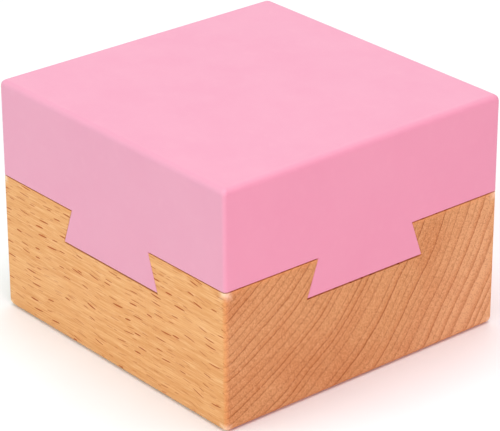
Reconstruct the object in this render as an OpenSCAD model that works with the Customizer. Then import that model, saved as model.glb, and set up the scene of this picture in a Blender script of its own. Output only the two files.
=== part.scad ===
// Square wooden puzzle box whose two halves seem to be dovetailed together on all four sides.
// Both dovetail rails run along one diagonal of the plan, so the lid slides off corner first.
// Millimetres. The origin is the middle of the underside, +Z is up, and the sides face X and Y.

/* [Box] */
// Side of the square plan
side = 65; // [60:0.5:80]
// Height of the base, from the underside to the parting face
base_height = 27.4; // [24:0.1:36]
// Height of the lid above the parting face
lid_height = 19.1; // [16:0.1:28]
// Radius of the four upright edges
corner_radius = 0.8; // [0.5:0.1:2]
// Radius of the edges round the top and the underside
rim_radius = 1.2; // [0.5:0.1:2.5]

/* [Dovetail] */
// Height of a rail
rail_height = 7.1; // [5:0.1:8]
// Width of a rail where it leaves the lid, square to its run
rail_neck = 15.7; // [14:0.1:16]
// Slope of a rail's flanks from upright
flank_angle = 14; // [8:1:15]
// Play between a rail's flank and the groove
flank_play = 0.1; // [0.05:0.05:0.3]
// Play between a rail's sole and the bottom of the groove
sole_play = 0.3; // [0.1:0.05:0.6]

/* [Compartment] */
// Width of the hidden compartment, across the rails
pocket_width = 21; // [14:0.5:21]
// Length of the hidden compartment, along the rails
pocket_length = 44; // [24:1:46]
// Radius of the compartment's upright corners
pocket_radius = 5; // [3:0.5:6]
// Depth of the compartment in the base
base_pocket_depth = 20; // [12:0.5:20]
// Depth of the compartment in the lid
lid_pocket_depth = 11; // [6:0.5:12]

/* [Magnets] */
// Diameter of a closing magnet
magnet_diameter = 6; // [4:0.5:8]
// Thickness of a closing magnet
magnet_thickness = 3; // [2:0.5:4]
// Distance from the middle of the box to a magnet, along the rails
magnet_reach = 33; // [30:0.5:34]
// How far each magnet lies under the parting face
magnet_recess = 0.2; // [0.1:0.05:0.5]
// Glue gap round each magnet
glue_gap = 0.05; // [0.02:0.01:0.1]

/* [Hidden] */
$fn = 64;

LEFT = -1;
RIGHT = 1;
slide_angle = 45;
total_height = base_height + lid_height;
diagonal = side * sqrt(2);
// A rail's middle line passes through the middles of two neighbouring sides.
rail_offset = diagonal / 4;
// Cutting tools run this far past the faces that they cut.
overrun = 1;

// Rectangle with all four corners rounded, centred on X, standing on Y = 0
module rounded_plate(width, height, radius) {
    translate([-width / 2, radius])
        square([width, height - 2 * radius]);
    translate([radius - width / 2, 0])
        square([width - 2 * radius, height]);
    for (x = [radius - width / 2, width / 2 - radius], y = [radius, height - radius])
        translate([x, y])
            circle(r = radius);
}

// The box's elevation, run right through it, seen from the front (0) or from the side (90)
module elevation(turn) {
    rotate([90, 0, turn])
        linear_extrude(side + 2 * overrun, center = true)
            rounded_plate(side, total_height, rim_radius);
}

// Outer shape of the closed box: its plan and both of its elevations, crossed
module outer_shape() {
    intersection() {
        translate([0, -side / 2, 0])
            linear_extrude(total_height)
                rounded_plate(side, side, corner_radius);
        elevation(0);
        elevation(90);
    }
}

// The part of the outer shape between two heights
module layer(bottom, top) {
    intersection() {
        outer_shape();
        translate([-side, -side, bottom])
            cube([2 * side, 2 * side, top - bottom]);
    }
}

// Turns X onto the diagonal that the lid slides along
module along_slide() {
    rotate([0, 0, slide_angle])
        children();
}

// Dovetail bar under the parting face, along X. It widens downwards, and play widens it at both flanks.
module dovetail_bar(play, depth) {
    slope = tan(flank_angle);
    half_neck = rail_neck / 2 + play / cos(flank_angle);
    rotate([90, 0, 90])
        linear_extrude(diagonal, center = true)
            polygon([
                [-half_neck + overrun * slope, overrun],
                [half_neck - overrun * slope, overrun],
                [half_neck + depth * slope, -depth],
                [-half_neck - depth * slope, -depth]
            ]);
}

// Both dovetail bars, at the parting face
module dovetail_pair(play, depth) {
    along_slide()
        for (side_sign = [-1, 1])
            translate([0, side_sign * rail_offset, base_height])
                dovetail_bar(play, depth);
}

// The compartment's outline, between two heights
module pocket(bottom, top) {
    along_slide()
        translate([0, -pocket_width / 2, bottom])
            linear_extrude(top - bottom)
                rounded_plate(pocket_length, pocket_width, pocket_radius);
}

// Upright cylinder at a magnet's place, between two heights
module magnet_plug(end, bottom, top, diameter) {
    along_slide()
        translate([end * magnet_reach, 0, bottom])
            cylinder(d = diameter, h = top - bottom);
}

module magnet_holes(bottom, top) {
    for (end = [LEFT, RIGHT])
        magnet_plug(end, bottom, top, magnet_diameter + 2 * glue_gap);
}

module base_block() {
    color("burlywood")
        difference() {
            layer(0, base_height);
            dovetail_pair(flank_play, rail_height + sole_play);
            pocket(base_height - base_pocket_depth, base_height + overrun);
            magnet_holes(base_height - magnet_recess - magnet_thickness, base_height + overrun);
        }
}

module lid_block() {
    color("lightpink")
        difference() {
            union() {
                layer(base_height, total_height);
                intersection() {
                    outer_shape();
                    dovetail_pair(0, rail_height);
                }
            }
            pocket(base_height - overrun, base_height + lid_pocket_depth);
            magnet_holes(base_height - overrun, base_height + magnet_recess + magnet_thickness);
        }
}

module base_magnet(end) {
    top = base_height - magnet_recess;
    color("silver")
        magnet_plug(end, top - magnet_thickness, top, magnet_diameter);
}

module lid_magnet(end) {
    bottom = base_height + magnet_recess;
    color("silver")
        magnet_plug(end, bottom, bottom + magnet_thickness, magnet_diameter);
}

base_block();
base_magnet(LEFT);  // base_magnet_left
base_magnet(RIGHT);  // base_magnet_right
lid_block();
lid_magnet(LEFT);  // lid_magnet_left
lid_magnet(RIGHT);  // lid_magnet_right
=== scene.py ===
import math

import bmesh
import bpy
from mathutils import Matrix, Vector


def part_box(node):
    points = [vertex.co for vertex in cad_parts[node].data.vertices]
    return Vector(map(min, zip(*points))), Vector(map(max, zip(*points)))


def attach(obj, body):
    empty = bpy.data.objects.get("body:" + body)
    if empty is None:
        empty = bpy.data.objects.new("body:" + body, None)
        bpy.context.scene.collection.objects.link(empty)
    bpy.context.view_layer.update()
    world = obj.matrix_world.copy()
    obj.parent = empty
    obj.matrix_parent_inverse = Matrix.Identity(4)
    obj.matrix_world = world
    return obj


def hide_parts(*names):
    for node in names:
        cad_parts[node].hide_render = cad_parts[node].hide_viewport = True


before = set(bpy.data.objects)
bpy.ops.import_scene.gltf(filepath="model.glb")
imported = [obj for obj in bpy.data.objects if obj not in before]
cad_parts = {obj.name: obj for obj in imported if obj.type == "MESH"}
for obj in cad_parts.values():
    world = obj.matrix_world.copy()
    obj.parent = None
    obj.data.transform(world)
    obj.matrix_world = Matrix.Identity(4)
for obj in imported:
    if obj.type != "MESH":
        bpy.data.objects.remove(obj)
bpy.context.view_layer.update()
mm = 0.001
print("frame loaded with", len(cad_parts), "nodes")

# Lengths are millimetres unless said. The box's own sizes come from the frame's two blocks.
baseLow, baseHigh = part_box("base_block")
lidLow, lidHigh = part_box("lid_block")
box = {
    "side": (baseHigh[0] - baseLow[0]) / mm,
    "parting": baseHigh[2] / mm,                   # height of the face where lid and base meet
    "top": lidHigh[2] / mm,
    "railHeight": (baseHigh[2] - lidLow[2]) / mm,
    "hairline": 0.2,                               # the base's top falls short by this, so the joint shows
}
dovetail = {
    "neck": 15.7,          # width of a rail where it leaves the lid
    "slope": math.tan(math.radians(14)),
    "flankPlay": 0.1,
    "solePlay": 0.3,
    "offset": box["side"] * math.sqrt(2) / 4,      # from the middle of the box to a rail's middle line
}
pocket = {
    "width": 21,
    "length": 44,
    "corner": 5,           # radius of the cutter that made it
    "cornerSteps": 16,
    "baseDepth": 20,
    "lidDepth": 11,
}
slideTurn = math.radians(45)
sharpAngle = math.radians(30)    # edges turned by more than this are eased
overrun = 1.0                    # cutters run this far past the faces that they cut
wallMargin = 0.02                # takes the compartment's walls into its outline


# Helpers for node trees of both kinds

def put(tree, kind, inputs=None, **settings):
    node = tree.nodes.new(kind)
    for key, value in settings.items():
        setattr(node, key, value)
    for key, value in (inputs or {}).items():
        feed(tree, node.inputs[key], value)
    return node


def feed(tree, socket, value):
    if isinstance(value, bpy.types.NodeSocket):
        tree.links.new(value, socket)
    elif isinstance(value, list):
        for one in value:
            tree.links.new(one, socket)
    else:
        socket.default_value = value


def calc(tree, operation, *values):
    return put(tree, "ShaderNodeMath", dict(enumerate(values)), operation=operation).outputs[0]


def vector(tree, x, y, z):
    return put(tree, "ShaderNodeCombineXYZ", {0: x, 1: y, 2: z}).outputs[0]


def split(tree, where):
    return put(tree, "ShaderNodeSeparateXYZ", {0: where}).outputs


def newTree(name, kind, inputs, outputs):
    tree = bpy.data.node_groups.new(name, kind)
    for socketName, socketType, value in inputs:
        socket = tree.interface.new_socket(name=socketName, in_out="INPUT",
                                           socket_type="NodeSocket" + socketType)
        if value is not None:
            socket.default_value = value
    for socketName, socketType in outputs:
        tree.interface.new_socket(name=socketName, in_out="OUTPUT", socket_type="NodeSocket" + socketType)
    return tree, put(tree, "NodeGroupInput").outputs


# Helpers for patterns

def noise(tree, where, scale, detail=2.0, rough=0.5):
    inputs = {"Vector": where, "Scale": scale, "Detail": detail, "Roughness": rough}
    return put(tree, "ShaderNodeTexNoise", inputs, noise_dimensions="3D").outputs["Fac"]


def stretch(tree, where, x, y, z):
    return put(tree, "ShaderNodeVectorMath", {0: where, 1: (x, y, z)}, operation="MULTIPLY").outputs[0]


def span(tree, value, low, high, toLow=0.0, toHigh=1.0):
    return put(tree, "ShaderNodeMapRange",
               {"Value": value, "From Min": low, "From Max": high, "To Min": toLow, "To Max": toHigh},
               interpolation_type="SMOOTHSTEP").outputs["Result"]


def centred(tree, value, amount):
    return calc(tree, "MULTIPLY", calc(tree, "SUBTRACT", value, 0.5), amount)


def times(tree, *values):
    result = values[0]
    for value in values[1:]:
        result = calc(tree, "MULTIPLY", result, value)
    return result


def mixColor(tree, amount, first, second):
    sockets = {0: amount, 6: first, 7: second}      # 6, 7 and output 2 are the ones for colours
    return put(tree, "ShaderNodeMix", sockets, data_type="RGBA").outputs[2]


# Places along and across the direction in which the lid slides

def slidePlace(tree, where):
    parts = split(tree, where)
    along = times(tree, calc(tree, "ADD", parts[0], parts[1]), math.sqrt(0.5))
    across = times(tree, calc(tree, "SUBTRACT", parts[1], parts[0]), math.sqrt(0.5))
    return along, across, parts[2]


def fromRailMiddle(tree, across):
    fromMiddle = calc(tree, "ABSOLUTE", across)
    return calc(tree, "ABSOLUTE", calc(tree, "SUBTRACT", fromMiddle, dovetail["offset"]))


# Solid beech: the same board carries on through every face that is cut from it

timberTones = {
    "early": (0.75, 0.37, 0.145, 1),
    "pale": (0.88, 0.53, 0.265, 1),
    "late": (0.60, 0.235, 0.062, 1),
    "fleck": (0.38, 0.062, 0.004, 1),
    "end": (0.60, 0.315, 0.122, 1),
    "endLate": (0.25, 0.078, 0.016, 1),
    "endRed": (0.50, 0.185, 0.052, 1),
    "endPale": (0.76, 0.46, 0.225, 1),
}
timber = {
    "pithY": -49.1,        # the tree's middle line runs along X through this point
    "pithZ": 54.7,
    "ringSpacing": 1.6,    # at the radius below; the rings get wider outwards
    "ringRadius": 50,
    "widening": 0.6,
    "bend": (0.05, 3.0),   # waviness of the rings: waves to the millimetre, and how far they reach
    "ripple": (0.35, 0.32),
    "raggedness": (2.4, 0.22),
    "paceScale": 0.31,     # thick and thin years come in groups of about three
    "unevenYears": 2.4,    # how far they drift from the mean spacing
    "lineStart": 0.72,     # share of a year at which its dark line begins, is darkest and begins to end
    "lineDark": 0.92,
    "lineEnd": 0.93,
    "shadeStart": 0.1,     # the wood darkens slowly through most of the year
    "shadeDark": 0.95,
    "rayBand": 8.0,        # rays keep one spacing across this much radius
    "raySway": (0.05, 2.0),
    "sapStart": 70,        # radius at which the wood begins to turn paler
    "sapEnd": 95,
    "sapPaleness": 0.75,
    "fibreScale": 4.5,     # scales are patterns to the millimetre
    "bandScale": 0.8,
    "stippleScale": 3.4,
    "cloudScale": 0.075,
    "radialScale": (2.1, 0.16, 0.3),         # around the pith, out from it and along it
    "lineOnLong": 0.25,    # how strongly each shows in the colour
    "shadeOnEnd": 0.85,
    "fleckOnEnd": 0.05,
    "fibreHeight": 0.5,    # and in the relief
    "fleckHeight": 0.45,
    "lineHeight": 0.35,
}
timberMasks = {            # pattern's value where a tone begins and is full, and its strength at both
    "faintToDarkYears": (0.0, 1.0, 0.45, 1.0),
    "faintToDarkShades": (0.1, 0.9, 0.15, 0.8),
    "darkBands": (0.35, 0.7, 0.0, 0.45),
    "darkFibres": (0.5, 0.7, 0.0, 0.55),
    "paleFibres": (0.5, 0.3, 0.0, 0.6),
    "redClouds": (0.45, 0.66, 0.0, 0.4),
    "fineRays": (0.58, 0.75, 0.0, 0.16),
    "darkPores": (0.48, 0.68, 0.0, 0.5),
    "paleSpecks": (0.5, 0.32, 0.0, 0.5),
    "linesInSapwood": (0.0, 0.75, 0.78, 0.3),
}
broadRays = {"cellLength": 6.6, "cellWidth": 0.62, "halfLength": 1.35, "halfGirth": 0.15, "seed": 3.7}
fineRays = {"cellLength": 4.2, "cellWidth": 0.40, "halfLength": 0.95, "halfGirth": 0.09, "seed": 5.3}
fineRayStrength = 0.5
rayMasks = {
    "lengths": (0.0, 1.0, 0.5, 1.15),        # from the shortest to the longest, in mean lengths
    "girths": (0.0, 1.0, 0.7, 1.2),
    "softEdge": (0.5, 1.1, 1.0, 0.0),
    "darkness": (0.0, 0.8, 0.35, 1.0),
}


def timberGroup():
    tree, given = newTree("beechTimber", "ShaderNodeTree",
                          [("Position", "Vector", None), ("End Grain", "Float", 0.0)],
                          [("Color", "Color"), ("Height", "Float"), ("Fleck", "Float")])
    at, endOn = given["Position"], given["End Grain"]

    # Each point's radius and turn about the pith, and the waviness of a real trunk
    parts = split(tree, at)
    across = calc(tree, "SUBTRACT", parts[1], timber["pithY"])
    up = calc(tree, "SUBTRACT", parts[2], timber["pithZ"])
    radius = calc(tree, "SQRT", calc(tree, "ADD", times(tree, across, across), times(tree, up, up)))
    turn = calc(tree, "ARCTAN2", up, across)
    bendScale, bendReach = timber["bend"]
    rippleScale, rippleReach = timber["ripple"]
    raggedScale, raggedReach = timber["raggedness"]
    slow = centred(tree, noise(tree, stretch(tree, at, 0.25, 1.0, 1.0), bendScale, 1.0), bendReach)
    quick = centred(tree, noise(tree, stretch(tree, at, 0.12, 1.0, 1.0), rippleScale, 1.0), rippleReach)
    ragged = noise(tree, stretch(tree, at, 0.1, 1.0, 1.0), raggedScale, 3.0, 0.6)
    ragged = centred(tree, ragged, raggedReach)
    wavy = calc(tree, "ADD", radius, calc(tree, "ADD", slow, calc(tree, "ADD", quick, ragged)))
    power = timber["widening"]
    yearsPerUnit = 1 / (power * timber["ringRadius"] ** (power - 1) * timber["ringSpacing"])
    years = times(tree, calc(tree, "POWER", wavy, power), yearsPerUnit)
    pace = noise(tree, vector(tree, times(tree, years, timber["paceScale"]), 0.0, 0.0), 1.0, 1.0)
    years = calc(tree, "ADD", years, centred(tree, pace, timber["unevenYears"]))
    season = calc(tree, "FRACT", years)
    yearTone = put(tree, "ShaderNodeTexWhiteNoise", {"W": calc(tree, "FLOOR", years)},
                   noise_dimensions="1D").outputs["Value"]
    line = times(tree, span(tree, season, timber["lineStart"], timber["lineDark"]),
                 span(tree, season, timber["lineEnd"], 1.0, 1.0, 0.0),
                 span(tree, yearTone, *timberMasks["faintToDarkYears"]))
    shade = times(tree, span(tree, season, timber["shadeStart"], timber["shadeDark"]),
                  span(tree, season, timber["shadeDark"], 1.0, 1.0, 0.0),
                  span(tree, yearTone, *timberMasks["faintToDarkShades"]))

    # Rays: thin ribbons that run out from the pith, cut across as dashes or seen end on as fine lines
    band = calc(tree, "FLOOR", calc(tree, "DIVIDE", wavy, timber["rayBand"]))
    bandRadius = times(tree, calc(tree, "ADD", band, 0.5), timber["rayBand"])
    swayScale, swayReach = timber["raySway"]
    sway = centred(tree, noise(tree, stretch(tree, at, 1.0, 0.12, 0.12), swayScale, 1.0), swayReach)
    around = calc(tree, "ADD", times(tree, turn, bandRadius), sway)
    lean = calc(tree, "DIVIDE", across, radius)

    def rays(kind):
        placeX = calc(tree, "ADD", calc(tree, "DIVIDE", parts[0], kind["cellLength"]),
                      times(tree, band, kind["seed"]))
        placeY = calc(tree, "DIVIDE", around, kind["cellWidth"])
        cells = put(tree, "ShaderNodeTexVoronoi",
                    {"Vector": vector(tree, placeX, placeY, 0.0), "Scale": 1.0, "Randomness": 1.0},
                    voronoi_dimensions="2D", feature="F1")
        centre = split(tree, cells.outputs["Position"])
        pick = put(tree, "ShaderNodeSeparateColor", {0: cells.outputs["Color"]}).outputs
        reach = span(tree, pick[0], *rayMasks["lengths"])
        offX = calc(tree, "DIVIDE", times(tree, calc(tree, "SUBTRACT", placeX, centre[0]),
                                          kind["cellLength"] / kind["halfLength"]), reach)
        offY = calc(tree, "SUBTRACT", placeY, centre[1])
        offY = calc(tree, "ABSOLUTE", times(tree, offY, kind["cellWidth"]))
        taper = calc(tree, "SUBTRACT", 1.0, times(tree, offX, offX))
        taper = calc(tree, "SQRT", calc(tree, "MAXIMUM", taper, 0.0001))    # never 0, for the division
        girth = times(tree, taper, kind["halfGirth"], lean, span(tree, pick[2], *rayMasks["girths"]))
        inside = span(tree, calc(tree, "DIVIDE", offY, girth), *rayMasks["softEdge"])
        return times(tree, inside, span(tree, pick[1], *rayMasks["darkness"]))

    flecks = calc(tree, "MAXIMUM", rays(broadRays), times(tree, rays(fineRays), fineRayStrength))

    # Fibres run along X; cut across they show as a fine stipple
    fibre = noise(tree, stretch(tree, at, 0.045, 1.0, 1.0), timber["fibreScale"], 4.0, 0.65)
    bands = noise(tree, stretch(tree, at, 0.02, 1.0, 1.0), timber["bandScale"], 3.0, 0.6)
    stipple = noise(tree, at, timber["stippleScale"], 4.0, 0.75)
    cloud = noise(tree, stretch(tree, at, 0.4, 1.0, 1.0), timber["cloudScale"], 2.0)
    polar = vector(tree, around, wavy, parts[0])
    radial = noise(tree, stretch(tree, polar, *timber["radialScale"]), 1.0)

    def tint(under, mask, tone):
        return mixColor(tree, mask, under, timberTones[tone])

    longTone = tint(timberTones["early"], span(tree, bands, *timberMasks["darkBands"]), "late")
    longTone = tint(longTone, times(tree, line, timber["lineOnLong"]), "late")
    longTone = tint(longTone, span(tree, fibre, *timberMasks["darkFibres"]), "late")
    longTone = tint(longTone, span(tree, fibre, *timberMasks["paleFibres"]), "pale")
    longTone = tint(longTone, flecks, "fleck")

    sap = span(tree, radius, timber["sapStart"], timber["sapEnd"], 0.0, timber["sapPaleness"])
    lineStrength = span(tree, sap, *timberMasks["linesInSapwood"])
    endTone = tint(timberTones["end"], span(tree, cloud, *timberMasks["redClouds"]), "endRed")
    endTone = tint(endTone, sap, "endPale")
    endTone = tint(endTone, times(tree, shade, timber["shadeOnEnd"]), "endRed")
    endTone = tint(endTone, times(tree, line, lineStrength), "endLate")
    endTone = tint(endTone, span(tree, radial, *timberMasks["fineRays"]), "endLate")
    endTone = tint(endTone, span(tree, stipple, *timberMasks["darkPores"]), "endLate")
    endTone = tint(endTone, span(tree, stipple, *timberMasks["paleSpecks"]), "endPale")
    endTone = tint(endTone, times(tree, flecks, timber["fleckOnEnd"]), "endLate")
    tone = mixColor(tree, endOn, longTone, endTone)

    height = calc(tree, "ADD", times(tree, fibre, timber["fibreHeight"]), times(tree, stipple, endOn))
    height = calc(tree, "SUBTRACT", height, times(tree, flecks, timber["fleckHeight"]))
    height = calc(tree, "SUBTRACT", height, times(tree, line, endOn, timber["lineHeight"]))
    put(tree, "NodeGroupOutput", {"Color": tone, "Height": height, "Fleck": flecks})
    return tree


# Marks the outer edges of a block, given its lowest and highest face, and the corners where three meet

arrisUnevenness = {
    "scale": 0.7,          # unevenness, patterns to the millimetre
    "spread": 2.0,
    "cornerSpread": 1.6,   # a corner's mark is this much less even than an edge's, and reaches this much further
    "cornerReach": 1.8,
    "cornerFull": 0.3,     # millimetres
}


def arrisGroup():
    tree, given = newTree("arrisMask", "ShaderNodeTree",
                          [("Position", "Vector", None), ("Half Side", "Float", 1.0), ("Low", "Float", 0.0),
                           ("High", "Float", 1.0), ("Reach", "Float", 1.0), ("Ragged", "Float", 0.5)],
                          [("Edge", "Float"), ("Corner", "Float")])
    parts = split(tree, given["Position"])
    toX = calc(tree, "SUBTRACT", given["Half Side"], calc(tree, "ABSOLUTE", parts[0]))
    toY = calc(tree, "SUBTRACT", given["Half Side"], calc(tree, "ABSOLUTE", parts[1]))
    toZ = calc(tree, "MINIMUM", calc(tree, "ABSOLUTE", calc(tree, "SUBTRACT", parts[2], given["Low"])),
               calc(tree, "ABSOLUTE", calc(tree, "SUBTRACT", given["High"], parts[2])))
    least, most = calc(tree, "MINIMUM", toX, toY), calc(tree, "MAXIMUM", toX, toY)
    second = calc(tree, "MAXIMUM", least, calc(tree, "MINIMUM", most, toZ))
    third = calc(tree, "MAXIMUM", most, toZ)
    uneven = noise(tree, given["Position"], arrisUnevenness["scale"], 4.0, 0.65)
    uneven = times(tree, centred(tree, uneven, arrisUnevenness["spread"]), given["Ragged"])
    edge = span(tree, calc(tree, "ADD", second, uneven), given["Reach"], 0.0)
    toCorner = calc(tree, "ADD", third, times(tree, uneven, arrisUnevenness["cornerSpread"]))
    cornerReach = times(tree, given["Reach"], arrisUnevenness["cornerReach"])
    corner = span(tree, toCorner, cornerReach, arrisUnevenness["cornerFull"])
    put(tree, "NodeGroupOutput", {"Edge": edge, "Corner": corner})
    return tree


# Arcs that a round cutter leaves as it is fed along the slide's direction

cutting = {
    "pocketPitch": 0.9,    # feed between two arcs in the compartment and in the grooves
    "groovePitch": 1.3,
    "grooveExtra": 2.0,    # a groove's cutter is this much larger in radius than half a rail's neck
    "shake": (0.35, 0.5),  # unevenness of the feed: patterns to the millimetre, and how far it reaches
    "patchScale": 0.2,
}


def cutterGroup():
    tree, given = newTree("cutterMarks", "ShaderNodeTree",
                          [("Position", "Vector", None), ("Middle", "Float", 0.0), ("Radius", "Float", 5.0),
                           ("Pitch", "Float", 1.0)],
                          [("Height", "Float")])
    along, across, _ = slidePlace(tree, given["Position"])
    off = calc(tree, "SUBTRACT", calc(tree, "ABSOLUTE", across), given["Middle"])
    lag = calc(tree, "SQRT", calc(tree, "MAXIMUM", 0.0, calc(tree, "SUBTRACT",
               times(tree, given["Radius"], given["Radius"]), times(tree, off, off))))
    shakeScale, shakeReach = cutting["shake"]
    shake = centred(tree, noise(tree, given["Position"], shakeScale), shakeReach)
    step = calc(tree, "ADD", calc(tree, "SUBTRACT", along, lag), shake)
    step = calc(tree, "DIVIDE", step, given["Pitch"])
    scallop = calc(tree, "ABSOLUTE", calc(tree, "SINE", times(tree, step, math.pi)))
    patches = noise(tree, given["Position"], cutting["patchScale"])
    put(tree, "NodeGroupOutput", {"Height": times(tree, scallop, patches)})
    return tree


# Fine scratches and soft smudges from being handled

handled = {
    "turns": (0.4, 1.7, 2.6),      # directions of the scratches about the axis below, in radians
    "axis": (0.3, 0.4, 0.86),
    "stretch": (0.06, 2.2, 2.2),
    "scratched": (0.70, 0.76),
    "smudgeScale": 0.11,
    "smudged": (0.35, 0.7),
}


def handlingGroup():
    tree, given = newTree("handling", "ShaderNodeTree",
                          [("Position", "Vector", None), ("Scale", "Float", 1.0)],
                          [("Scratches", "Float"), ("Smudges", "Float")])
    lines = []
    for turn in handled["turns"]:
        turned = put(tree, "ShaderNodeVectorRotate",
                     {"Vector": given["Position"], "Axis": handled["axis"], "Angle": turn},
                     rotation_type="AXIS_ANGLE").outputs[0]
        streak = noise(tree, stretch(tree, turned, *handled["stretch"]), given["Scale"])
        lines.append(span(tree, streak, *handled["scratched"]))
    scratches = calc(tree, "MAXIMUM", lines[0], calc(tree, "MAXIMUM", lines[1], lines[2]))
    smudges = noise(tree, given["Position"], handled["smudgeScale"], 3.0, 0.6)
    smudges = span(tree, smudges, *handled["smudged"])
    put(tree, "NodeGroupOutput", {"Scratches": scratches, "Smudges": smudges})
    return tree


beechTimber = timberGroup()
arrisMask = arrisGroup()
cutterMarks = cutterGroup()
handling = handlingGroup()
print("shader groups built")


# Materials

def newMaterial(name):
    material = bpy.data.materials.new(name)
    material.use_nodes = True
    tree = material.node_tree
    tree.nodes.clear()
    shader = put(tree, "ShaderNodeBsdfPrincipled")
    put(tree, "ShaderNodeOutputMaterial", {"Surface": shader.outputs[0]})
    return material, tree, shader.inputs


def millimetres(tree):
    where = put(tree, "ShaderNodeTexCoord").outputs["Object"]
    return put(tree, "ShaderNodeVectorMath", {0: where, "Scale": 1 / mm}, operation="SCALE").outputs[0]


def place(tree, group, inputs):
    node = put(tree, "ShaderNodeGroup", node_tree=group)
    for key, value in inputs.items():
        feed(tree, node.inputs[key], value)
    return node.outputs


# 1 inside the compartment's outline and on its walls, otherwise 0

def inCompartment(tree, along, across):
    halfLength = pocket["length"] / 2 + wallMargin
    halfWidth = pocket["width"] / 2 + wallMargin
    return times(tree, calc(tree, "LESS_THAN", calc(tree, "ABSOLUTE", along), halfLength),
                 calc(tree, "LESS_THAN", calc(tree, "ABSOLUTE", across), halfWidth))


beechFinish = {
    "roughness": 0.5,
    "gloss": 0.2,          # share of a full shine: the oil has sunk in
    "oilVariation": 0.1,
    "fleckRoughness": 0.12,
    "endRoughness": 0.06,
    "paleCorner": (0.95, 0.72, 0.50, 1),       # paler at the corners
    "paleCornerStrength": 0.75,
    "rim": (0.74, 0.32, 0.10, 1),        # darker, more orange along the outer edges
    "rimStrength": 0.4,
    "edgeReach": 1.1,
    "edgeRagged": 0.5,
    "scratchScale": 0.9,
    "scratchDepth": 0.25,
    "tooling": 2.2,        # depth of the cutter marks beside the grain's own relief
    "bump": 0.3,
    "bumpDepth": 0.05,
}


def oiledBeech():
    material, tree, skin = newMaterial("oiledBeech")
    at = millimetres(tree)
    endGrain = put(tree, "ShaderNodeAttribute", attribute_name="endGrain").outputs["Fac"]
    wood = place(tree, beechTimber, {"Position": at, "End Grain": endGrain})
    edges = place(tree, arrisMask, {"Position": at, "Half Side": box["side"] / 2, "Low": 0.0,
                                    "High": box["parting"], "Reach": beechFinish["edgeReach"],
                                    "Ragged": beechFinish["edgeRagged"]})
    marks = place(tree, handling, {"Position": at, "Scale": beechFinish["scratchScale"]})
    along, across, up = slidePlace(tree, at)
    inside = inCompartment(tree, along, across)
    routed = place(tree, cutterMarks, {"Position": at, "Radius": pocket["corner"],
                                       "Pitch": cutting["pocketPitch"]})["Height"]
    cutterRadius = dovetail["neck"] / 2 + cutting["grooveExtra"]
    grooved = place(tree, cutterMarks, {"Position": at, "Middle": dovetail["offset"],
                                        "Radius": cutterRadius, "Pitch": cutting["groovePitch"]})["Height"]
    inGroove = times(tree, calc(tree, "LESS_THAN", fromRailMiddle(tree, across), cutterRadius + 0.2),
                     calc(tree, "LESS_THAN", up, box["parting"] - 0.5), calc(tree, "SUBTRACT", 1.0, inside))
    tooled = calc(tree, "ADD", times(tree, routed, inside), times(tree, grooved, inGroove))

    # Darker, more orange along the outer edges
    rim = times(tree, edges["Edge"], beechFinish["rimStrength"])
    # Paler at the corners
    paleCorner = times(tree, edges["Corner"], beechFinish["paleCornerStrength"])
    tone = mixColor(tree, rim, wood["Color"], beechFinish["rim"])
    tone = mixColor(tree, paleCorner, tone, beechFinish["paleCorner"])
    feed(tree, skin["Base Color"], tone)
    skin["Specular IOR Level"].default_value = beechFinish["gloss"]
    oil = centred(tree, marks["Smudges"], beechFinish["oilVariation"])
    rough = calc(tree, "ADD", beechFinish["roughness"], oil)
    rough = calc(tree, "ADD", rough, times(tree, wood["Fleck"], beechFinish["fleckRoughness"]))
    rough = calc(tree, "ADD", rough, times(tree, endGrain, beechFinish["endRoughness"]))
    feed(tree, skin["Roughness"], rough)
    height = calc(tree, "ADD", wood["Height"], times(tree, tooled, beechFinish["tooling"]))
    height = calc(tree, "SUBTRACT", height, times(tree, marks["Scratches"], beechFinish["scratchDepth"]))
    bump = put(tree, "ShaderNodeBump", {"Height": height, "Strength": beechFinish["bump"],
                                        "Distance": beechFinish["bumpDepth"] * mm})
    feed(tree, skin["Normal"], bump.outputs[0])
    return material


satinPaint = {
    "full": (0.706, 0.288, 0.406, 1),
    "paleCoat": (0.722, 0.306, 0.420, 1),    # paler tone, for thinner patches and along the arrises
    "deep": (0.699, 0.281, 0.400, 1),
    "roughness": 0.58,
    "gloss": 0.8,
    "peelScale": 1.1,      # orange peel left by the spray gun, bumps to the millimetre
    "bump": 0.22,
    "bumpDepth": 0.03,
    "smudgeVariation": 0.08,
    "coatVariation": 0.06,
    "railPolish": 0.12,    # the rails are rubbed smoother than the rest
    "grainShow": 0.22,     # share of the wood's relief that shows through the coat
    "peelDepth": 0.8,
    "scratchScale": 0.7,
    "scratchDepth": 0.06,
    "tooling": 2.6,
    "edgeReach": 0.9,
    "edgeRagged": 0.35,
    "edgeStrength": 0.6,
    "mottleScale": 0.06,
    "mottle": (0.35, 0.65),
    "thinScale": 0.5,      # thinner patches all over
    "thinPatches": (0.5, 0.75, 0.0, 0.35),
    "railStart": (0.6, 3.5),             # distance from the box's sides where wear begins and is full
    "streakScale": (0.07, 1.0, 1.0),     # wear runs along the slide
    "streakReach": 2.4,
    "rubbed": (0.55, 0.1),               # distance from a rail's lower arris where wood begins and is bare
    "scuffed": (0.60, 0.68),
    "scuffStrength": 0.45,
    "speckle": (1.8, 5.0),
    "overspray": (1.0, 4.5),             # heights above the compartment's lip between which it fades out
}


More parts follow.
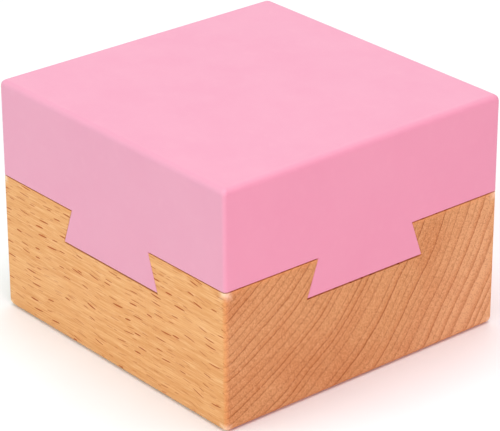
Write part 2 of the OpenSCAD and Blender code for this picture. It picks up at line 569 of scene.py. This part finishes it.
def pinkSatin():
    material, tree, skin = newMaterial("pinkSatin")
    at = millimetres(tree)
    endGrain = put(tree, "ShaderNodeAttribute", attribute_name="endGrain").outputs["Fac"]
    wood = place(tree, beechTimber, {"Position": at, "End Grain": endGrain})
    edges = place(tree, arrisMask, {"Position": at, "Half Side": box["side"] / 2, "Low": 0.0,
                                    "High": box["top"], "Reach": satinPaint["edgeReach"],
                                    "Ragged": satinPaint["edgeRagged"]})
    marks = place(tree, handling, {"Position": at, "Scale": satinPaint["scratchScale"]})
    along, across, up = slidePlace(tree, at)
    depth = calc(tree, "SUBTRACT", box["parting"], up)

    # Paint is rubbed through along the rails' lower arrises, away from the box's sides
    halfRail = calc(tree, "ADD", dovetail["neck"] / 2, times(tree, depth, dovetail["slope"]))
    toFlank = calc(tree, "ABSOLUTE", calc(tree, "SUBTRACT", halfRail, fromRailMiddle(tree, across)))
    toSole = calc(tree, "ABSOLUTE", calc(tree, "SUBTRACT", box["railHeight"], depth))
    parts = split(tree, at)
    outermost = calc(tree, "MAXIMUM", calc(tree, "ABSOLUTE", parts[0]), calc(tree, "ABSOLUTE", parts[1]))
    toSide = calc(tree, "SUBTRACT", box["side"] / 2, outermost)
    onRail = times(tree, calc(tree, "GREATER_THAN", depth, 0.3),
                   span(tree, toSide, *satinPaint["railStart"]))
    streaks = noise(tree, stretch(tree, vector(tree, along, across, up), *satinPaint["streakScale"]),
                    0.9, 4.0, 0.6)
    arrisWorn = calc(tree, "ADD", calc(tree, "MAXIMUM", toFlank, toSole),
                     centred(tree, streaks, satinPaint["streakReach"]))
    rubbed = times(tree, span(tree, arrisWorn, *satinPaint["rubbed"]), onRail)
    scuffed = times(tree, span(tree, streaks, *satinPaint["scuffed"]), onRail, satinPaint["scuffStrength"])

    # Overspray fades out into the bare compartment
    speckleScale, speckleReach = satinPaint["speckle"]
    speckle = centred(tree, noise(tree, at, speckleScale, 4.0, 0.7), speckleReach)
    inward = calc(tree, "MULTIPLY", depth, -1.0)
    inside = times(tree, inCompartment(tree, along, across),
                   calc(tree, "LESS_THAN", inward, pocket["lidDepth"] + 0.1))
    bare = times(tree, inside, span(tree, calc(tree, "ADD", inward, speckle), *satinPaint["overspray"]))
    through = calc(tree, "MAXIMUM", bare, calc(tree, "MAXIMUM", rubbed, scuffed))

    mottle = span(tree, noise(tree, at, satinPaint["mottleScale"], 3.0, 0.55), *satinPaint["mottle"])
    patches = span(tree, noise(tree, at, satinPaint["thinScale"], 4.0, 0.6), *satinPaint["thinPatches"])
    coat = mixColor(tree, mottle, satinPaint["deep"], satinPaint["full"])
    coat = mixColor(tree, patches, coat, satinPaint["paleCoat"])
    # Paler along the outer edges
    coat = mixColor(tree, times(tree, edges["Edge"], satinPaint["edgeStrength"]), coat, satinPaint["paleCoat"])
    feed(tree, skin["Base Color"], mixColor(tree, through, coat, wood["Color"]))
    skin["Specular IOR Level"].default_value = satinPaint["gloss"]
    smudges = centred(tree, marks["Smudges"], satinPaint["smudgeVariation"])
    rough = calc(tree, "ADD", satinPaint["roughness"], smudges)
    rough = calc(tree, "ADD", rough, centred(tree, noise(tree, at, 0.9, 3.0), satinPaint["coatVariation"]))
    rough = calc(tree, "SUBTRACT", rough, times(tree, onRail, satinPaint["railPolish"]))
    feed(tree, skin["Roughness"], rough)

    routed = place(tree, cutterMarks, {"Position": at, "Radius": pocket["corner"],
                                       "Pitch": cutting["pocketPitch"]})["Height"]
    peel = noise(tree, at, satinPaint["peelScale"], 2.0, 0.45)
    height = calc(tree, "ADD", times(tree, peel, satinPaint["peelDepth"]),
                  times(tree, wood["Height"], satinPaint["grainShow"]))
    height = calc(tree, "SUBTRACT", height, times(tree, marks["Scratches"], satinPaint["scratchDepth"]))
    height = calc(tree, "ADD", height, times(tree, routed, inside, satinPaint["tooling"]))
    bump = put(tree, "ShaderNodeBump", {"Height": height, "Strength": satinPaint["bump"],
                                        "Distance": satinPaint["bumpDepth"] * mm})
    feed(tree, skin["Normal"], bump.outputs[0])
    return material


nickel = {
    "tone": (0.74, 0.71, 0.66, 1),
    "dull": (0.50, 0.46, 0.41, 1),
    "roughness": 0.2,
    "tarnishScale": 0.9,
    "tarnished": (0.5, 0.75, 0.0, 0.5),
    "tarnishRoughness": 0.3,
    "scratchScale": 0.8,
    "scratchFineness": (6.0, 6.0, 6.0),    # finer than on the wood by this much
    "scratchRoughness": 0.25,
    "bump": 0.2,
    "bumpDepth": 0.01,
}


def nickelPlate():
    material, tree, skin = newMaterial("nickelPlate")
    at = millimetres(tree)
    fine = stretch(tree, at, *nickel["scratchFineness"])
    marks = place(tree, handling, {"Position": fine, "Scale": nickel["scratchScale"]})
    tarnish = span(tree, noise(tree, at, nickel["tarnishScale"], 4.0, 0.6), *nickel["tarnished"])
    feed(tree, skin["Base Color"], mixColor(tree, tarnish, nickel["tone"], nickel["dull"]))
    skin["Metallic"].default_value = 1.0
    rough = times(tree, marks["Scratches"], nickel["scratchRoughness"])
    rough = calc(tree, "ADD", nickel["roughness"], rough)
    rough = calc(tree, "ADD", rough, times(tree, tarnish, nickel["tarnishRoughness"]))
    feed(tree, skin["Roughness"], rough)
    bump = put(tree, "ShaderNodeBump", {"Height": marks["Scratches"], "Strength": nickel["bump"],
                                        "Distance": nickel["bumpDepth"] * mm})
    feed(tree, skin["Normal"], bump.outputs[0])
    return material


beechSkin = oiledBeech()
paintSkin = pinkSatin()
nickelSkin = nickelPlate()
print("materials built")


# Objects that a geometry tree grows or changes, with named inputs set before the first evaluation

def newObject(name):
    obj = bpy.data.objects.new(name, bpy.data.meshes.new(name))
    bpy.context.collection.objects.link(obj)
    return obj


def grow(obj, tree, values):
    modifier = obj.modifiers.new("grow", "NODES")
    modifier.node_group = tree
    for item in tree.interface.items_tree:
        if item.in_out == "INPUT" and item.name != "Geometry":
            modifier[item.identifier] = values[item.name]


def ease(obj, width, limit, segments):
    bevel = obj.modifiers.new("ease", "BEVEL")
    bevel.limit_method = limit
    bevel.angle_limit = sharpAngle
    bevel.width = width
    bevel.segments = segments
    bevel.use_clamp_overlap = False


# Turns the finished object into one plain mesh, smooth on its roundings and flat on its faces

def bake(obj):
    weighted = obj.modifiers.new("flatFaces", "WEIGHTED_NORMAL")
    weighted.weight = 100
    graph = bpy.context.evaluated_depsgraph_get()
    mesh = bpy.data.meshes.new_from_object(obj.evaluated_get(graph))
    obj.modifiers.clear()
    obj.data = mesh
    print(obj.name, "has", len(mesh.vertices), "points and", len(mesh.polygons), "faces")


# Both blocks start as the same squared billet with all its outer edges eased

arris = {
    "upright": 0.8,        # radius of the four upright edges
    "rim": 1.2,            # round the top and the underside
    "rimSegments": 8,
    "cut": 0.09,           # where a saw or cutter left a corner
    "mouth": 0.35,         # lip of the compartment
    "floor": 0.5,          # round the compartment's floor
    "cutSegments": 3,
}


def billet(name):
    obj = newObject(name)
    form = bmesh.new()
    bmesh.ops.create_cube(form, size=1.0)
    weight = form.edges.layers.float.new("bevel_weight_edge")
    for edge in form.edges:
        upright = abs(edge.verts[0].co.z - edge.verts[1].co.z) > 0.5
        edge[weight] = arris["upright"] / arris["rim"] if upright else 1.0
    for point in form.verts:
        point.co.x *= box["side"]
        point.co.y *= box["side"]
        point.co.z = (point.co.z + 0.5) * box["top"]
    for face in form.faces:
        face.smooth = True
    form.to_mesh(obj.data)
    form.free()
    ease(obj, arris["rim"], "WEIGHT", arris["rimSegments"])
    return obj


def dovetailTree():
    names = ["Side", "Top", "Parting", "Short", "Neck", "Foot", "Rail Depth", "Rail Offset",
             "Pocket Width", "Pocket Length", "Pocket Corner", "Pocket Low", "Pocket High", "Pocket Floor",
             "Hole Radius", "Hole Reach", "Hole Low", "Hole High"]
    inputs = [("Geometry", "Geometry", None)] + [(name, "Float", 0.0) for name in names]
    inputs += [("Rails Stand Out", "Bool", False), ("Material", "Material", None)]
    tree, given = newTree("dovetailCuts", "GeometryNodeTree", inputs, [("Geometry", "Geometry")])

    def shape(kind, inputs, **settings):
        return put(tree, kind, inputs, **settings).outputs[0]

    def halfway(first, second):
        return times(tree, calc(tree, "ADD", first, second), 0.5)

    def negative(value):
        return calc(tree, "MULTIPLY", value, -1.0)

    def move(what, where):
        return shape("GeometryNodeTransform", {"Geometry": what, "Translation": where})

    def alongSlide(what):
        return shape("GeometryNodeTransform", {"Geometry": what, "Rotation": (0, 0, slideTurn)})

    def slab(low, high):
        width = calc(tree, "MULTIPLY", given["Side"], 2.0)
        size = vector(tree, width, width, calc(tree, "SUBTRACT", high, low))
        cube = shape("GeometryNodeMeshCube", {"Size": size})
        return move(cube, vector(tree, 0.0, 0.0, halfway(low, high)))

    def sweep(outline, start, end):
        path = shape("GeometryNodeCurvePrimitiveLine", {"Start": start, "End": end})
        return shape("GeometryNodeCurveToMesh",
                     {"Curve": path, "Profile Curve": outline, "Fill Caps": True})

    def combine(operation, first, others):
        inputs = {"Mesh 2": others}
        if first is not None:
            inputs["Mesh 1"] = first
        return shape("GeometryNodeMeshBoolean", inputs, operation=operation, solver="EXACT")

    # Both dovetail bars, from their soles to a little above the parting face
    spread = calc(tree, "DIVIDE", calc(tree, "SUBTRACT", given["Foot"], given["Neck"]), given["Rail Depth"])
    narrow = calc(tree, "SUBTRACT", given["Neck"], times(tree, spread, overrun))
    barHeight = calc(tree, "ADD", given["Rail Depth"], overrun)
    section = shape("GeometryNodeCurvePrimitiveQuadrilateral",
                    {"Bottom Width": narrow, "Top Width": given["Foot"], "Height": barHeight,
                     "Offset": 0.0}, mode="TRAPEZOID")
    bar = sweep(section, vector(tree, negative(given["Side"]), 0.0, 0.0),
                vector(tree, given["Side"], 0.0, 0.0))
    barMiddle = calc(tree, "SUBTRACT", given["Parting"], times(tree, barHeight, 0.5))
    barMiddle = calc(tree, "ADD", barMiddle, overrun)
    bars = [alongSlide(move(bar, vector(tree, 0.0, off, barMiddle)))
            for off in (given["Rail Offset"], negative(given["Rail Offset"]))]

    # The base loses both bars and all above the parting face, and the lid keeps just those
    face = calc(tree, "SUBTRACT", given["Parting"], given["Short"])
    above = slab(face, calc(tree, "ADD", given["Top"], overrun))
    grooved = combine("DIFFERENCE", given["Geometry"], [above, *bars])
    railed = combine("INTERSECT", None, [combine("UNION", None, [above, *bars]), given["Geometry"]])
    body = shape("GeometryNodeSwitch",
                 {"Switch": given["Rails Stand Out"], "False": grooved, "True": railed},
                 input_type="GEOMETRY")

    # The compartment and the two magnet holes
    rectangle = shape("GeometryNodeCurvePrimitiveQuadrilateral",
                      {"Width": given["Pocket Length"], "Height": given["Pocket Width"]})
    outline = shape("GeometryNodeFilletCurve",
                    {"Curve": rectangle, "Count": pocket["cornerSteps"], "Radius": given["Pocket Corner"]},
                    mode="POLY")
    hollow = sweep(outline, vector(tree, 0.0, 0.0, given["Pocket Low"]),
                   vector(tree, 0.0, 0.0, given["Pocket High"]))
    holeDepth = calc(tree, "SUBTRACT", given["Hole High"], given["Hole Low"])
    plug = shape("GeometryNodeMeshCylinder",
                 {"Vertices": magnet["sides"], "Radius": given["Hole Radius"], "Depth": holeDepth})
    holes = [move(plug, vector(tree, reach, 0.0, halfway(given["Hole Low"], given["Hole High"])))
             for reach in (given["Hole Reach"], negative(given["Hole Reach"]))]
    body = combine("DIFFERENCE", body, [alongSlide(tool) for tool in (hollow, *holes)])

    # Every cut edge gets its own share of the widest rounding, which is the one round the floor
    where = put(tree, "GeometryNodeInputPosition").outputs[0]
    along, across, up = slidePlace(tree, where)
    near = 0.01

    def choose(test, chosen, otherwise):
        return put(tree, "GeometryNodeSwitch", {"Switch": test, "False": otherwise, "True": chosen},
                   input_type="FLOAT").outputs[0]

    def within(value, limit):
        half = calc(tree, "ADD", times(tree, limit, 0.5), near)
        return calc(tree, "LESS_THAN", calc(tree, "ABSOLUTE", value), half)

    inPlan = times(tree, within(along, given["Pocket Length"]), within(across, given["Pocket Width"]))
    atMouth = times(tree, inPlan, calc(tree, "COMPARE", up, face, near))
    atFloor = times(tree, inPlan, calc(tree, "COMPARE", up, given["Pocket Floor"], near))
    share = choose(atMouth, arris["mouth"] / arris["floor"], arris["cut"] / arris["floor"])
    share = choose(atFloor, 1.0, share)
    angle = put(tree, "GeometryNodeInputMeshEdgeAngle").outputs[0]
    share = times(tree, share, calc(tree, "GREATER_THAN", angle, sharpAngle))
    body = shape("GeometryNodeStoreNamedAttribute",
                 {"Geometry": body, "Name": "bevel_weight_edge", "Value": share},
                 domain="EDGE", data_type="FLOAT")

    body = shape("GeometryNodeSetShadeSmooth", {"Geometry": body})
    body = shape("GeometryNodeTransform", {"Geometry": body, "Scale": (mm, mm, mm)})
    body = shape("GeometryNodeRealizeInstances", {"Geometry": body})
    body = shape("GeometryNodeSetMaterial", {"Geometry": body, "Material": given["Material"]})
    put(tree, "NodeGroupOutput", {"Geometry": body})
    return tree


# The grain pattern needs to know which faces are cut across the fibres, which run along X

def markEndGrain(mesh):
    end = mesh.attributes.new("endGrain", "FLOAT", "CORNER")
    end.data.foreach_set("value", [abs(normal.vector[0]) for normal in mesh.corner_normals])


def makeBlock(name, values):
    obj = billet(name)
    grow(obj, dovetailCuts, values)
    ease(obj, arris["floor"] * mm, "WEIGHT", arris["cutSegments"])
    bake(obj)
    markEndGrain(obj.data)
    return obj


magnetLow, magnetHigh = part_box("base_magnet_right")
magnet = {
    "radius": (magnetHigh[0] - magnetLow[0]) / 2 / mm,
    "reach": math.hypot(magnetLow[0] + magnetHigh[0], magnetLow[1] + magnetHigh[1]) / 2 / mm,
    "thick": (magnetHigh[2] - magnetLow[2]) / mm,
    "baseLow": magnetLow[2] / mm,
    "lidLow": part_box("lid_magnet_right")[0][2] / mm,
    "glueGap": 0.05,
    "chamfer": 0.25,
    "chamferSegments": 3,
    "sides": 64,
}
dovetailCuts = dovetailTree()
common = {
    "Side": box["side"], "Top": box["top"], "Parting": box["parting"], "Rail Offset": dovetail["offset"],
    "Pocket Width": pocket["width"], "Pocket Length": pocket["length"], "Pocket Corner": pocket["corner"],
    "Hole Radius": magnet["radius"] + magnet["glueGap"], "Hole Reach": magnet["reach"],
}
justAbove = box["parting"] + overrun
justBelow = box["parting"] - overrun
grooveDepth = box["railHeight"] + dovetail["solePlay"]
grooveNeck = dovetail["neck"] + 2 * dovetail["flankPlay"] * math.hypot(1, dovetail["slope"])
baseFloor = box["parting"] - pocket["baseDepth"]
lidFloor = box["parting"] + pocket["lidDepth"]
base = makeBlock("baseBlock", common | {
    "Short": box["hairline"], "Rails Stand Out": False, "Material": beechSkin,
    "Neck": grooveNeck, "Foot": grooveNeck + 2 * grooveDepth * dovetail["slope"], "Rail Depth": grooveDepth,
    "Pocket Low": baseFloor, "Pocket High": justAbove, "Pocket Floor": baseFloor,
    "Hole Low": magnet["baseLow"], "Hole High": justAbove,
})
lid = makeBlock("lidBlock", common | {
    "Short": 0.0, "Rails Stand Out": True, "Material": paintSkin,
    "Neck": dovetail["neck"], "Foot": dovetail["neck"] + 2 * box["railHeight"] * dovetail["slope"],
    "Rail Depth": box["railHeight"],
    "Pocket Low": justBelow, "Pocket High": lidFloor, "Pocket Floor": lidFloor,
    "Hole Low": justBelow, "Hole High": magnet["lidLow"] + magnet["thick"],
})
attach(base, "base")
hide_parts("base_block")
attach(lid, "lid")
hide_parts("lid_block")


# Two magnets in each block, at both ends of the slide's diagonal

def magnetTree():
    inputs = [(name, "Float", 0.0) for name in ("Radius", "Thickness", "Reach", "Low")]
    tree, given = newTree("magnetPair", "GeometryNodeTree", inputs + [("Material", "Material", None)],
                          [("Geometry", "Geometry")])
    height = calc(tree, "ADD", given["Low"], times(tree, given["Thickness"], 0.5))
    first = vector(tree, times(tree, given["Reach"], -1.0), 0.0, height)
    apart = vector(tree, times(tree, given["Reach"], 2.0), 0.0, 0.0)
    ends = put(tree, "GeometryNodeMeshLine", {"Count": 2, "Start Location": first, "Offset": apart},
               mode="OFFSET")
    disc = put(tree, "GeometryNodeMeshCylinder", {"Vertices": magnet["sides"], "Radius": given["Radius"],
                                                  "Depth": given["Thickness"]})
    smooth = put(tree, "GeometryNodeSetShadeSmooth", {"Geometry": disc.outputs[0]})
    pair = put(tree, "GeometryNodeInstanceOnPoints",
               {"Points": ends.outputs[0], "Instance": smooth.outputs[0]})
    turned = put(tree, "GeometryNodeTransform", {"Geometry": pair.outputs[0], "Rotation": (0, 0, slideTurn),
                                                 "Scale": (mm, mm, mm)})
    real = put(tree, "GeometryNodeRealizeInstances", {"Geometry": turned.outputs[0]})
    made = put(tree, "GeometryNodeSetMaterial",
               {"Geometry": real.outputs[0], "Material": given["Material"]})
    put(tree, "NodeGroupOutput", {"Geometry": made.outputs[0]})
    return tree


def makeMagnets(name, tree, low):
    obj = newObject(name)
    grow(obj, tree, {"Radius": magnet["radius"], "Thickness": magnet["thick"], "Reach": magnet["reach"],
                     "Low": low, "Material": nickelSkin})
    ease(obj, magnet["chamfer"] * mm, "ANGLE", magnet["chamferSegments"])
    bake(obj)
    return obj


magnetPair = magnetTree()
for bodyName in ("base", "lid"):
    magnets = makeMagnets(bodyName + "Magnets", magnetPair, magnet[bodyName + "Low"])
    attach(magnets, bodyName)
    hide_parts(bodyName + "_magnet_left", bodyName + "_magnet_right")


# Floor, lights and camera

studio = {
    "floorTone": (0.86, 0.86, 0.86, 1),
    "floorDust": (0.84, 0.84, 0.84, 1),
    "floorReach": 3000,
    "floorScale": 0.02,
    "floorDusty": (0.4, 0.7),
    "floorRoughness": 0.9,
    "target": (-0.583, 0.875, 20.0),    # the camera looks at this point
    "azimuth": 50.026,                  # degrees, from the side at -Y towards the side at +X
    "elevation": 25.278,
    "roll": -0.182,
    "distance": 493.5,
    "lens": 190,
    "sensorWidth": 36,
    "clip": (0.01, 20),                 # metres
    "worldTone": (1, 0.88, 0.93, 1),
    "worldStrength": 0.469,
}
panels = {                 # place, size, watts and tone of each panel; all face the box
    "frontPanel": ((-200, -800, 420), (600, 400), 3.6, (0.592, 1, 0.886)),
    "rightPanel": ((760, -260, 330), (500, 400), 3.16, (1, 0.52, 0.65)),
    "backPanel": ((-650, 560, 420), (900, 500), 1.72, (0.93, 1, 1)),
    "topPanel": ((60, 0, 900), (700, 700), 5.79, (0.93, 1, 0.98)),
}


def addPanel(name, spot, size, power, tone, aim=(0, 0, 22)):
    data = bpy.data.lights.new(name, "AREA")
    data.shape = "RECTANGLE"
    data.size = size[0] * mm
    data.size_y = size[1] * mm
    data.energy = power
    data.color = tone
    lamp = bpy.data.objects.new(name, data)
    bpy.context.collection.objects.link(lamp)
    lamp.location = Vector(spot) * mm
    lamp.rotation_euler = (Vector(aim) - Vector(spot)).to_track_quat("-Z", "Y").to_euler()


def addCamera():
    data = bpy.data.cameras.new("camera")
    data.lens = studio["lens"]
    data.sensor_width = studio["sensorWidth"]
    data.clip_start, data.clip_end = studio["clip"]
    camera = bpy.data.objects.new("camera", data)
    bpy.context.collection.objects.link(camera)
    azimuth, elevation = math.radians(studio["azimuth"]), math.radians(studio["elevation"])
    back = Vector((math.sin(azimuth) * math.cos(elevation), -math.cos(azimuth) * math.cos(elevation),
                   math.sin(elevation)))
    camera.location = (Vector(studio["target"]) + back * studio["distance"]) * mm
    roll = Matrix.Rotation(math.radians(studio["roll"]), 3, "Z")
    camera.rotation_euler = ((-back).to_track_quat("-Z", "Y").to_matrix() @ roll).to_euler()
    bpy.context.scene.camera = camera


def addFloor():
    floor = newObject("floor")
    reach = studio["floorReach"] * mm
    corners = [(-reach, -reach, 0), (reach, -reach, 0), (reach, reach, 0), (-reach, reach, 0)]
    floor.data.from_pydata(corners, [], [(0, 1, 2, 3)])
    material, tree, skin = newMaterial("paleFloor")
    dust = span(tree, noise(tree, millimetres(tree), studio["floorScale"], 4.0, 0.6), *studio["floorDusty"])
    feed(tree, skin["Base Color"], mixColor(tree, dust, studio["floorTone"], studio["floorDust"]))
    skin["Roughness"].default_value = studio["floorRoughness"]
    floor.data.materials.append(material)


world = bpy.data.worlds.new("studio")
world.use_nodes = True
backdrop = world.node_tree.nodes["Background"].inputs
backdrop["Color"].default_value = studio["worldTone"]
backdrop["Strength"].default_value = studio["worldStrength"]
bpy.context.scene.world = world
bpy.context.scene.view_settings.view_transform = "Standard"
for panelName, settings in panels.items():
    addPanel(panelName, *settings)
addFloor()
addCamera()
print("studio set")
